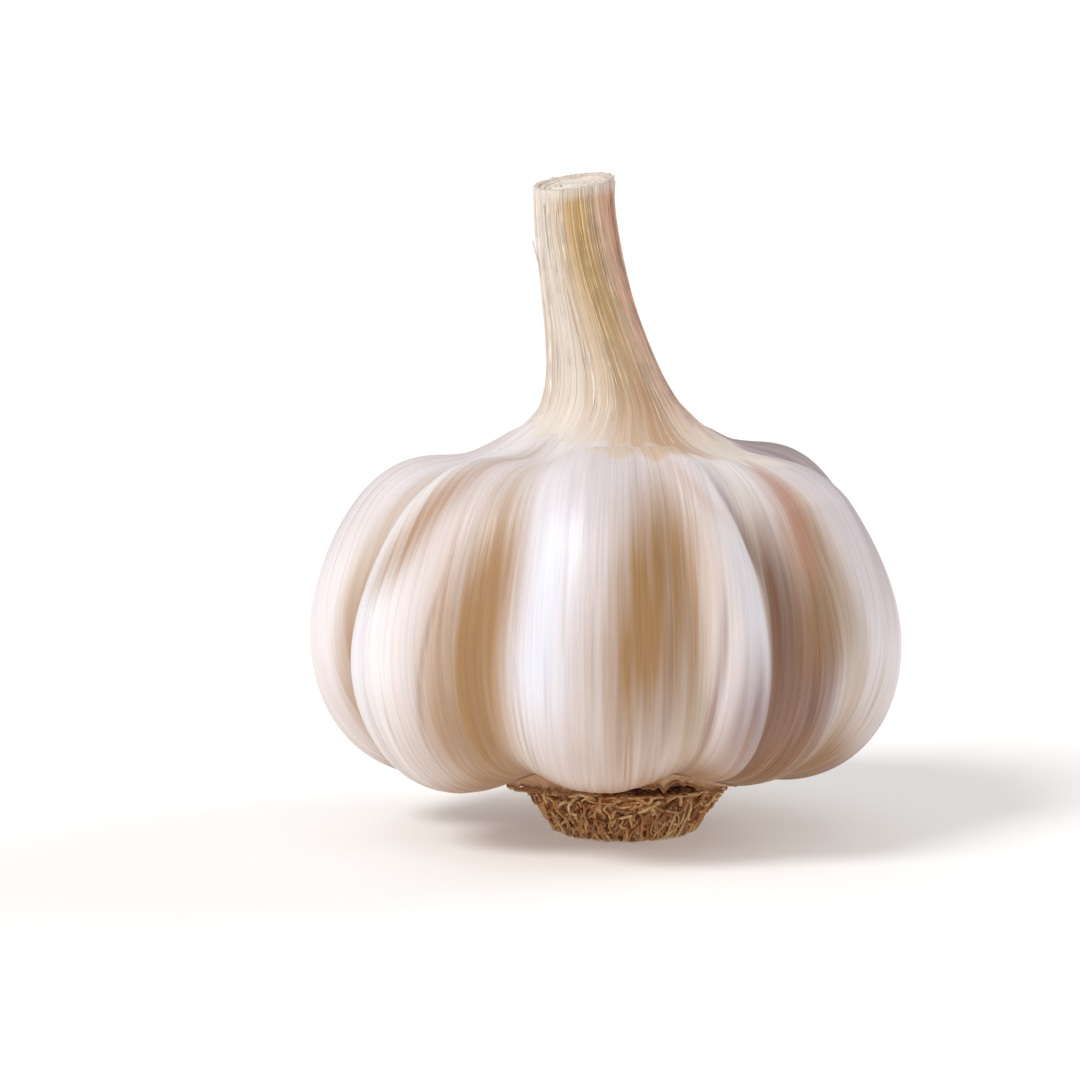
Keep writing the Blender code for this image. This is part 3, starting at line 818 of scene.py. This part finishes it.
def dried_leaf_strands():
    """Dry leaf veins: hard and slightly glossy like straw, from near white to gold or rosy brown."""
    material, tree, shader = new_material("dried_leaf_strands", {"Roughness": 0.5, "IOR": 1.45})
    marks = {label: add(tree, "ShaderNodeAttribute", attribute_name=label).outputs["Fac"]
             for label in ("tone", "gold", "rose")}
    where = add(tree, "ShaderNodeTexCoord").outputs["Object"]
    mottle = add(tree, "ShaderNodeTexNoise", {"Vector": where, "Scale": 500.0, "Detail": 2.0})
    plain, rosy, golden = (
        add(tree, "ShaderNodeMix", {0: marks["tone"], 6: paint(light), 7: paint(dark)},
            data_type="RGBA").outputs[2]
        for light, dark in (("#F6EEE4", "#E2D4C4"), ("#E6C4AC", "#BE9276"), ("#E6CB98", "#BE965C")))
    colour = plain
    for label, tint in (("rose", rosy), ("gold", golden)):
        colour = add(tree, "ShaderNodeMix", {0: marks[label], 6: colour, 7: tint},
                     data_type="RGBA").outputs[2]
    worn = add(tree, "ShaderNodeMapRange", {0: mottle, 1: 0.35, 2: 0.65, 3: 0.82, 4: 1.08})
    colour = add(tree, "ShaderNodeMix", {0: 1.0, 6: colour, 7: worn},
                 data_type="RGBA", blend_type="MULTIPLY").outputs[2]
    feed(tree, shader, {"Base Color": colour})
    return material


guides = strand_guides()
strand_lines = bpy.data.meshes.new("strand_lines")
strand_edges = [(strand * STRAND_POINTS + point, strand * STRAND_POINTS + point + 1)
                for strand in range(STRANDS) for point in range(STRAND_POINTS - 1)]
strand_lines.from_pydata(guides.pop("place").tolist(), strand_edges, [])
for label, values in guides.items():
    strand_lines.attributes.new(label, "FLOAT", "POINT").data.foreach_set("value", values.astype(np.float32))
dry_strands = grow("dry_strands", strand_lines, strand_tree(), STRAND_SIZES, dried_leaf_strands())
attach(dry_strands, "root")

# The torn skin round the root plate.
# The lowest ends of the outer leaves, where they have torn from the plate. They are brown, brittle and
# a little curled, lie on the skin under the lobes, and hang over the roots in a ragged edge.

TORN_TOP = 13.4 * MM  # along the skin from the middle of the plate
TORN_FOOT = 10.1 * MM
TORN_TATTER = 1.5 * MM
TORN_ROWS = 14
HANG = 0.75 * MM  # how far the ragged edge hangs over the plate
HANG_TATTER = 0.65 * MM
HANG_FLARE = 0.7 * MM
HANG_TUCK = 0.15 * MM  # how far it tucks in halfway down
HANG_ROWS = 9
TORN_LIFT = 0.1 * MM
TORN_CURL = 0.16 * MM
TORN_THICKNESS = 0.12 * MM
TORN_GRAIN = 0.06  # how far the grain moves on from row to row, in millimetres at its true scale


def torn_skin_grid():
    """The under side of the torn skin, from its ragged foot up and outwards to its ragged top."""
    columns = np.arange(MERIDIANS, dtype=float)
    all_rows = np.arange(len(skin))
    one_row = row_arc[:1]
    tatter = (0.5 * wander(one_row, 40, MM, 31) + 0.5 * wander(one_row, 130, MM, 32))[0]
    curl = np.clip(wander(one_row, 22, MM, 33)[0], 0, 1)
    laid = []
    for step in range(TORN_ROWS):
        share = step / (TORN_ROWS - 1)
        arc = TORN_FOOT + (TORN_TOP + TORN_TATTER * tatter - TORN_FOOT) * share
        row = np.array([np.interp(a, skin_arc[:, c], all_rows) for c, a in enumerate(arc)])
        lift = TORN_LIFT * (1 - 0.6 * share) + TORN_CURL * curl * smooth(share, 0.6, 1.0)
        laid.append(read_grid(skin, row, columns) + read_grid(skin_normals, row, columns) * lift[:, None])
    foot = laid[0]
    tatter = (0.4 * wander(one_row, 48, MM, 34) + 0.6 * wander(one_row, 144, MM, 35))[0]
    length = HANG + HANG_TATTER * tatter
    flare = HANG_FLARE * (0.5 + 0.5 * wander(one_row, 30, MM, 36)[0])
    hanging = []
    for step in range(HANG_ROWS, 0, -1):
        share = step / HANG_ROWS
        down = -(length * share)[:, None] * UP
        out = flare * share**2 - HANG_TUCK * math.sin(math.pi * share)
        hanging.append(foot + down + OUTWARDS * out[:, None])
    return np.array(hanging + laid)


def brittle_brown_skin():
    """Skin that has gone brown and brittle near the roots: matt, streaked lengthwise from beige to
    rusty brown, and darkest at its torn edges."""
    material, tree, shader = new_material("brittle_brown_skin", {"Roughness": 0.68, "IOR": 1.45})
    edge = add(tree, "ShaderNodeAttribute", attribute_name="edge").outputs["Fac"]
    grain = add(tree, "ShaderNodeAttribute", attribute_name="grain").outputs["Vector"]
    broad, fine = (
        add(tree, "ShaderNodeTexNoise", {"Vector": grain, "Scale": scale, "Detail": 3.0, "Roughness": 0.6})
        for scale in (0.9, 3.2))
    blend = add(tree, "ShaderNodeMapRange", {0: broad, 1: 0.35, 2: 0.65})
    streak = add(tree, "ShaderNodeMapRange", {0: fine, 1: 0.42, 2: 0.66, 3: 0.0, 4: 0.7})
    burnt = add(tree, "ShaderNodeMath", {0: edge, 1: 0.6}, operation="MULTIPLY")
    colour = paint("#DABF9F")
    for code, amount in (("#C08E58", blend), ("#A46C42", streak), ("#85522F", burnt)):
        colour = add(tree, "ShaderNodeMix", {0: amount, 6: colour, 7: paint(code)},
                     data_type="RGBA").outputs[2]
    bump = add(tree, "ShaderNodeBump", {"Height": fine, "Strength": 0.6, "Distance": 0.2 * MM})
    feed(tree, shader, {"Base Color": colour, "Normal": bump})
    return material


under_side = torn_skin_grid()
share_up = np.linspace(0, 1, len(under_side))[:, None] * np.ones(MERIDIANS)
thickness = TORN_THICKNESS * (1 - 0.9 * smooth(share_up, 0.7, 1.0))  # its torn top edge is feathered
upper_side = under_side + outward_of(under_side) * thickness[..., None]
torn_edge = 1 - smooth(share_up, 0.0, 0.3) + smooth(share_up, 0.85, 1.0) * 0.6
torn_grain = BELLY * OUTWARDS + (np.arange(len(under_side)) * TORN_GRAIN)[:, None, None] * UP
both_sides = {"edge": np.concatenate((torn_edge, torn_edge[::-1])),
              "grain": np.concatenate((torn_grain, torn_grain[::-1]))}
torn_skin = grid_mesh("torn_skin", np.concatenate((upper_side, under_side[::-1])), both_sides,
                      brittle_brown_skin(), looped=True)
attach(torn_skin, "root")

# The root plate.
# The stem of the bulb, a corky disc 19 mm across that the leaves and the roots grow from. It is brown,
# dry and cracked, narrows downwards, and is worn flat where the bulb stands.

PLATE_PROFILE = (  # radius and height in millimetres, from the flat spot up
    (1.2, 0.0), (2.6, 0.0), (4.0, 0.0), (5.2, 0.0), (6.0, 0.0), (6.4, 0.08),
    (6.7, 0.45), (7.2, 1.2), (7.7, 1.85), (8.15, 2.45), (8.6, 3.05), (8.9, 3.65),
    (9.15, 4.25), (9.35, 4.9), (9.2, 5.35), (8.6, 5.65), (5.0, 5.7),
)
CRACK = 0.28 * MM
PIT = 0.14 * MM
plate_radii, plate_heights = np.array(PLATE_PROFILE).T * MM
plate_path = np.cumsum(np.hypot(np.diff(plate_radii, prepend=0), np.diff(plate_heights, prepend=0)))
cracks = CRACK * np.abs(wander(plate_path, 46, 2.6 * MM, 41))
cracks = cracks + PIT * (1 + wander(plate_path, 120, 0.9 * MM, 42)) / 2
cracks *= smooth(plate_path, 4 * MM, 7 * MM)[:, None]
plate_reach = plate_radii[:, None] - cracks
plate_grid = plate_reach[..., None] * OUTWARDS + plate_heights[:, None, None] * UP
ROOT_ROWS = slice(5, 15)  # the part of the profile that roots grow from


def corky_root_plate():
    """Dry cork of the stem: matt, dark brown, cracked every 2 to 3 mm, and paler in fine patches."""
    material, tree, shader = new_material("corky_root_plate", {"Roughness": 0.9})
    where = add(tree, "ShaderNodeTexCoord").outputs["Object"]
    cork = add(tree, "ShaderNodeTexVoronoi", {"Vector": where, "Scale": 620.0, "Randomness": 1.0},
               feature="DISTANCE_TO_EDGE").outputs["Distance"]
    grit = add(tree, "ShaderNodeTexNoise", {"Vector": where, "Scale": 1400.0, "Detail": 4.0})
    blend = add(tree, "ShaderNodeMapRange", {0: grit, 1: 0.3, 2: 0.7})
    crack = add(tree, "ShaderNodeMapRange", {0: cork, 1: 0.0, 2: 0.12, 3: 0.85, 4: 0.0})
    colour = paint("#A26C44")
    for code, amount in (("#D09C6A", blend), ("#2E1A0E", crack)):
        colour = add(tree, "ShaderNodeMix", {0: amount, 6: colour, 7: paint(code)},
                     data_type="RGBA").outputs[2]
    bump = add(tree, "ShaderNodeBump", {"Height": cork, "Strength": 0.7, "Distance": 0.4 * MM})
    bump = add(tree, "ShaderNodeBump",
               {"Height": grit, "Strength": 0.5, "Distance": 0.2 * MM, "Normal": bump})
    feed(tree, shader, {"Base Color": colour, "Normal": bump})
    return material


root_plate = grid_mesh("root_plate", plate_grid, {}, corky_root_plate())
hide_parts("root_tuft")
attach(root_plate, "root")

# The cropped roots.
# Several hundred dried roots, each about half a millimetre thick, that grew from the side of the plate
# and were cropped short. They have curled up as they dried, into a matted golden brown tuft.

ROOT_SIZES = {
    "Spacing": 0.37 * MM,
    "Density": 6e6,  # roots to a square metre, before those nearer than the spacing are left out
    "Points": 11,
    "Sides": 5,
    "Girth": 0.19 * MM,  # radius
    "Shortest": 2.0 * MM,
    "Longest": 4.6 * MM,
    "Lowest share": 0.45,  # how long the lowest roots are, beside the topmost
    "Sunk": 0.4 * MM,
    "Splay": 1.6,
    "Curl": 6.0 * MM,
    "Kinks": 460.0,  # to a metre
    "Reach": 1.9 * MM,  # about the furthest that a curled root stands out from the plate
    "Plate foot": 6.4 * MM,  # the plate's radius where it stands,
    "Plate slope": 0.6,  # and how much wider it gets with each millimetre up
    "Droop": 0.5 * MM,
    "Floor": 0.24 * MM,
    "Ceiling": 5.35 * MM,
    "Seed": 8,
}


def root_tree():
    """Straight lines on points scattered over the plate's side, then curled by noise, drooped, held
    close to the plate and clear of the surface it stands on, and swept as tubes that taper a little."""
    tree, given = new_tree("cropped_roots", ROOT_SIZES)
    points = add(tree, "GeometryNodeDistributePointsOnFaces",
                 {"Mesh": given["Geometry"], "Distance Min": given["Spacing"],
                  "Density Max": given["Density"], "Seed": given["Seed"]}, distribute_method="POISSON")
    marked = points.outputs["Points"]
    for label, low, high, shift in (("shade", 0.0, 1.0, 1), ("whim", 0.0, 80.0, 2), ("vigour", 0.7, 1.25, 3)):
        seed = add(tree, "ShaderNodeMath", {0: given["Seed"], 1: shift}, operation="ADD")
        pick = add(tree, "FunctionNodeRandomValue", {2: low, 3: high, "Seed": seed}, data_type="FLOAT")
        marked = add(tree, "GeometryNodeStoreNamedAttribute",
                     {"Geometry": marked, "Name": label, "Value": pick.outputs[1]})
    whim = add(tree, "GeometryNodeInputNamedAttribute", {"Name": "whim"}, data_type="FLOAT")
    vigour = add(tree, "GeometryNodeInputNamedAttribute", {"Name": "vigour"}, data_type="FLOAT")

    sway = add(tree, "FunctionNodeRandomValue",
               {0: (-1, -1, -1), 1: (1, 1, 1), "Seed": given["Seed"]}, data_type="FLOAT_VECTOR")
    sway = add(tree, "ShaderNodeVectorMath", {0: sway, "Scale": given["Splay"]}, operation="SCALE")
    aim = add(tree, "ShaderNodeVectorMath", {0: points.outputs["Normal"], 1: sway}, operation="ADD")
    turn = add(tree, "FunctionNodeAlignRotationToVector", {"Vector": aim}, axis="Z")
    length = add(tree, "FunctionNodeRandomValue",
                 {2: given["Shortest"], 3: given["Longest"], "Seed": given["Points"]},
                 data_type="FLOAT").outputs[1]
    place = add(tree, "GeometryNodeInputPosition")
    height = add(tree, "ShaderNodeSeparateXYZ", {0: place}).outputs[2]
    share = add(tree, "ShaderNodeMapRange",
                {0: height, 1: 0.0, 2: given["Ceiling"], 3: given["Lowest share"], 4: 1.0})
    length = add(tree, "ShaderNodeMath", {0: length, 1: share}, operation="MULTIPLY")
    line = add(tree, "GeometryNodeCurvePrimitiveLine", {"Start": (0, 0, 0), "End": (0, 0, 1)})
    line = add(tree, "GeometryNodeResampleCurve", {"Curve": line, "Count": given["Points"]})
    roots = add(tree, "GeometryNodeInstanceOnPoints",
                {"Points": marked, "Instance": line, "Rotation": turn, "Scale": length})
    roots = add(tree, "GeometryNodeRealizeInstances", {"Geometry": roots})

    factor = add(tree, "GeometryNodeSplineParameter").outputs["Factor"]
    noise = add(tree, "ShaderNodeTexNoise",
                {"Vector": place, "W": whim, "Scale": given["Kinks"], "Detail": 1.0}, noise_dimensions="4D")
    curl = add(tree, "ShaderNodeVectorMath", {0: noise.outputs["Color"], 1: (0.5, 0.5, 0.5)},
               operation="SUBTRACT")
    amount = add(tree, "ShaderNodeMath", {0: factor, 1: given["Curl"]}, operation="MULTIPLY")
    curl = add(tree, "ShaderNodeVectorMath", {0: curl, "Scale": amount}, operation="SCALE")
    droop = add(tree, "ShaderNodeMath", {0: factor, 1: factor}, operation="MULTIPLY")
    droop = add(tree, "ShaderNodeMath", {0: droop, 1: given["Droop"]}, operation="MULTIPLY")
    droop = add(tree, "ShaderNodeCombineXYZ", {"Z": droop})
    shift = add(tree, "ShaderNodeVectorMath", {0: curl, 1: droop}, operation="SUBTRACT")
    roots = add(tree, "GeometryNodeSetPosition", {"Geometry": roots, "Offset": shift})

    # How far out of the plate's side it is, turned back out where it curls into it, then held close
    flat = add(tree, "ShaderNodeVectorMath", {0: place, 1: (1, 1, 0)}, operation="MULTIPLY")
    radius = add(tree, "ShaderNodeVectorMath", {0: flat}, operation="LENGTH").outputs["Value"]
    side = add(tree, "ShaderNodeMath", {0: height, 1: given["Plate slope"], 2: given["Plate foot"]},
               operation="MULTIPLY_ADD")
    out = add(tree, "ShaderNodeMath", {0: radius, 1: side}, operation="SUBTRACT")
    turned = add(tree, "ShaderNodeMath", {0: out}, operation="ABSOLUTE")
    free = add(tree, "ShaderNodeMapRange", {0: factor, 1: 0.0, 2: 0.3})
    out = add(tree, "ShaderNodeMix", {0: free, 2: out, 3: turned}, data_type="FLOAT")
    held = add(tree, "ShaderNodeMath", {0: out, 1: given["Reach"]}, operation="DIVIDE")
    held = add(tree, "ShaderNodeMath", {0: held, 1: -1.0}, operation="MULTIPLY")
    held = add(tree, "ShaderNodeMath", {0: held}, operation="EXPONENT")
    held = add(tree, "ShaderNodeMath", {0: 1.0, 1: held}, operation="SUBTRACT")
    held = add(tree, "ShaderNodeMath", {0: held, 1: share}, operation="MULTIPLY")
    held = add(tree, "ShaderNodeMath", {0: held, 1: given["Reach"], 2: side}, operation="MULTIPLY_ADD")
    scale = add(tree, "ShaderNodeMath", {0: held, 1: radius}, operation="DIVIDE")
    flat = add(tree, "ShaderNodeVectorMath", {0: flat, "Scale": scale}, operation="SCALE")
    kept = add(tree, "ShaderNodeClamp", {"Value": height, "Min": given["Floor"], "Max": given["Ceiling"]})
    kept = add(tree, "ShaderNodeCombineXYZ", {"Z": kept})
    kept = add(tree, "ShaderNodeVectorMath", {0: flat, 1: kept}, operation="ADD")
    roots = add(tree, "GeometryNodeSetPosition", {"Geometry": roots, "Position": kept})

    taper = add(tree, "ShaderNodeMath", {0: factor, 1: -0.3, 2: 1.0}, operation="MULTIPLY_ADD")
    girth = add(tree, "ShaderNodeMath", {0: taper, 1: given["Girth"]}, operation="MULTIPLY")
    girth = add(tree, "ShaderNodeMath", {0: girth, 1: vigour}, operation="MULTIPLY")
    roots = add(tree, "GeometryNodeStoreNamedAttribute", {"Geometry": roots, "Name": "tip", "Value": factor})
    ring = add(tree, "GeometryNodeCurvePrimitiveCircle", {"Resolution": given["Sides"], "Radius": 1.0})
    tubes = add(tree, "GeometryNodeCurveToMesh",
                {"Curve": roots, "Profile Curve": ring, "Scale": girth, "Fill Caps": True})
    end_tree(tree, tubes, given["Material"])
    return tree


def dried_root_fibre():
    """Dried root: matt and wiry, each one its own shade of golden to dark brown, paler at its cut tip."""
    material, tree, shader = new_material("dried_root_fibre", {"Roughness": 0.8})
    shade, tip = (add(tree, "ShaderNodeAttribute", attribute_name=label).outputs["Fac"]
                  for label in ("shade", "tip"))
    where = add(tree, "ShaderNodeTexCoord").outputs["Object"]
    grit = add(tree, "ShaderNodeTexNoise", {"Vector": where, "Scale": 1500.0, "Detail": 3.0})
    ramp = add(tree, "ShaderNodeValToRGB", {0: shade})
    stops = ((0.0, "#8A5230"), (0.35, "#CC8C56"), (0.7, "#E8B272"), (1.0, "#FFDFA8"))
    for place, code in stops[1:-1]:
        ramp.color_ramp.elements.new(place)
    for element, (place, code) in zip(ramp.color_ramp.elements, stops):
        element.position = place
        element.color = paint(code)
    pale = add(tree, "ShaderNodeMapRange", {0: tip, 1: 0.6, 2: 1.0, 3: 0.0, 4: 0.4})
    colour = add(tree, "ShaderNodeMix", {0: pale, 6: ramp, 7: paint("#F0D6A8")}, data_type="RGBA").outputs[2]
    dusty = add(tree, "ShaderNodeMapRange", {0: grit, 1: 0.3, 2: 0.7, 3: 0.72, 4: 1.12})
    colour = add(tree, "ShaderNodeMix", {0: 1.0, 6: colour, 7: dusty},
                 data_type="RGBA", blend_type="MULTIPLY").outputs[2]
    bump = add(tree, "ShaderNodeBump", {"Height": grit, "Strength": 0.5, "Distance": 0.12 * MM})
    feed(tree, shader, {"Base Color": colour, "Normal": bump})
    return material


root_band = plate_grid[ROOT_ROWS] - OUTWARDS * ROOT_SIZES["Sunk"]
plate_side = bpy.data.meshes.new("plate_side")
plate_side.from_pydata(root_band.reshape(-1, 3).tolist(), [], grid_faces(len(root_band)))
cropped_roots = grow("cropped_roots", plate_side, root_tree(), ROOT_SIZES, dried_root_fibre())
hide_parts("root_tuft")
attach(cropped_roots, "root")

# The floor, the light and the camera.
# A plain white card with a white wall far behind it, a soft light high on the left in front and a weaker
# one on the right, and the even light of a white room.

floor_material, _, _ = new_material("matt_white_card", {
    "Base Color": paint("#F4F3F2"), "Roughness": 0.9,
    "Emission Color": (1, 1, 1, 1), "Emission Strength": 0.2})
FLOOR_RADIUS = 90.0
bpy.ops.mesh.primitive_circle_add(vertices=96, radius=FLOOR_RADIUS, fill_type="NGON")
floor = bpy.context.object
floor.name = "floor"
floor.data.materials.append(floor_material)

# A white wall behind low views. It is for the camera alone, and takes no part in the light on the bulb
WALL_RADIUS = 4.0
WALL_HEIGHT = 2.0
wall_material, _, _ = new_material("lit_white_wall", {
    "Base Color": (0, 0, 0, 1), "Specular IOR Level": 0.0,
    "Emission Color": (1, 1, 1, 1), "Emission Strength": 1.0})
bpy.ops.mesh.primitive_cylinder_add(vertices=96, radius=WALL_RADIUS, depth=WALL_HEIGHT,
                                    end_fill_type="NOTHING", location=(0, 0, WALL_HEIGHT / 2))
wall = bpy.context.object
wall.name = "wall"
wall.data.materials.append(wall_material)
for ray in ("diffuse", "glossy", "transmission", "volume_scatter", "shadow"):
    setattr(wall, f"visible_{ray}", False)

SUNS = (  # azimuth and height it comes from, strength, and how wide it is, in degrees
    ("key", -50, 42, 1.75, 20),
    ("side", 115, 30, 0.6, 30),
)
for name, azimuth, elevation, strength, width in SUNS:
    lamp = bpy.data.lights.new(name, "SUN")
    lamp.energy = strength
    lamp.angle = math.radians(width)
    light = new_object(name, lamp)
    light.rotation_euler = (math.radians(90 - elevation), 0, math.radians(azimuth))

world = bpy.data.worlds.new("white_room")
world.use_nodes = True
room_light = {"Color": (1, 1, 1, 1), "Strength": 0.48}
feed(world.node_tree, world.node_tree.nodes["Background"], room_light)
bpy.context.scene.world = world
bpy.context.scene.view_settings.view_transform = "Standard"

PHOTO_WIDTH = 1080  # pixels
PHOTO_SCALE = 9.75  # pixels to a millimetre of the bulb
FRAME_WIDTH = PHOTO_WIDTH / PHOTO_SCALE * MM
LENS = 150  # millimetres, as is the sensor's width
SENSOR = 36
ELEVATION = math.radians(7)
AIM = (-8.7 * MM, 0.0, 30.2 * MM)  # the point that the middle of the picture shows
lens = bpy.data.cameras.new("camera")
lens.lens = LENS
lens.sensor_width = SENSOR
lens.clip_start = 0.01
camera = new_object("camera", lens)
distance = FRAME_WIDTH * LENS / SENSOR
camera.location = (AIM[0], AIM[1] - distance * math.cos(ELEVATION), AIM[2] + distance * math.sin(ELEVATION))
camera.rotation_euler = (math.pi / 2 - ELEVATION, 0, 0)
bpy.context.scene.camera = camera
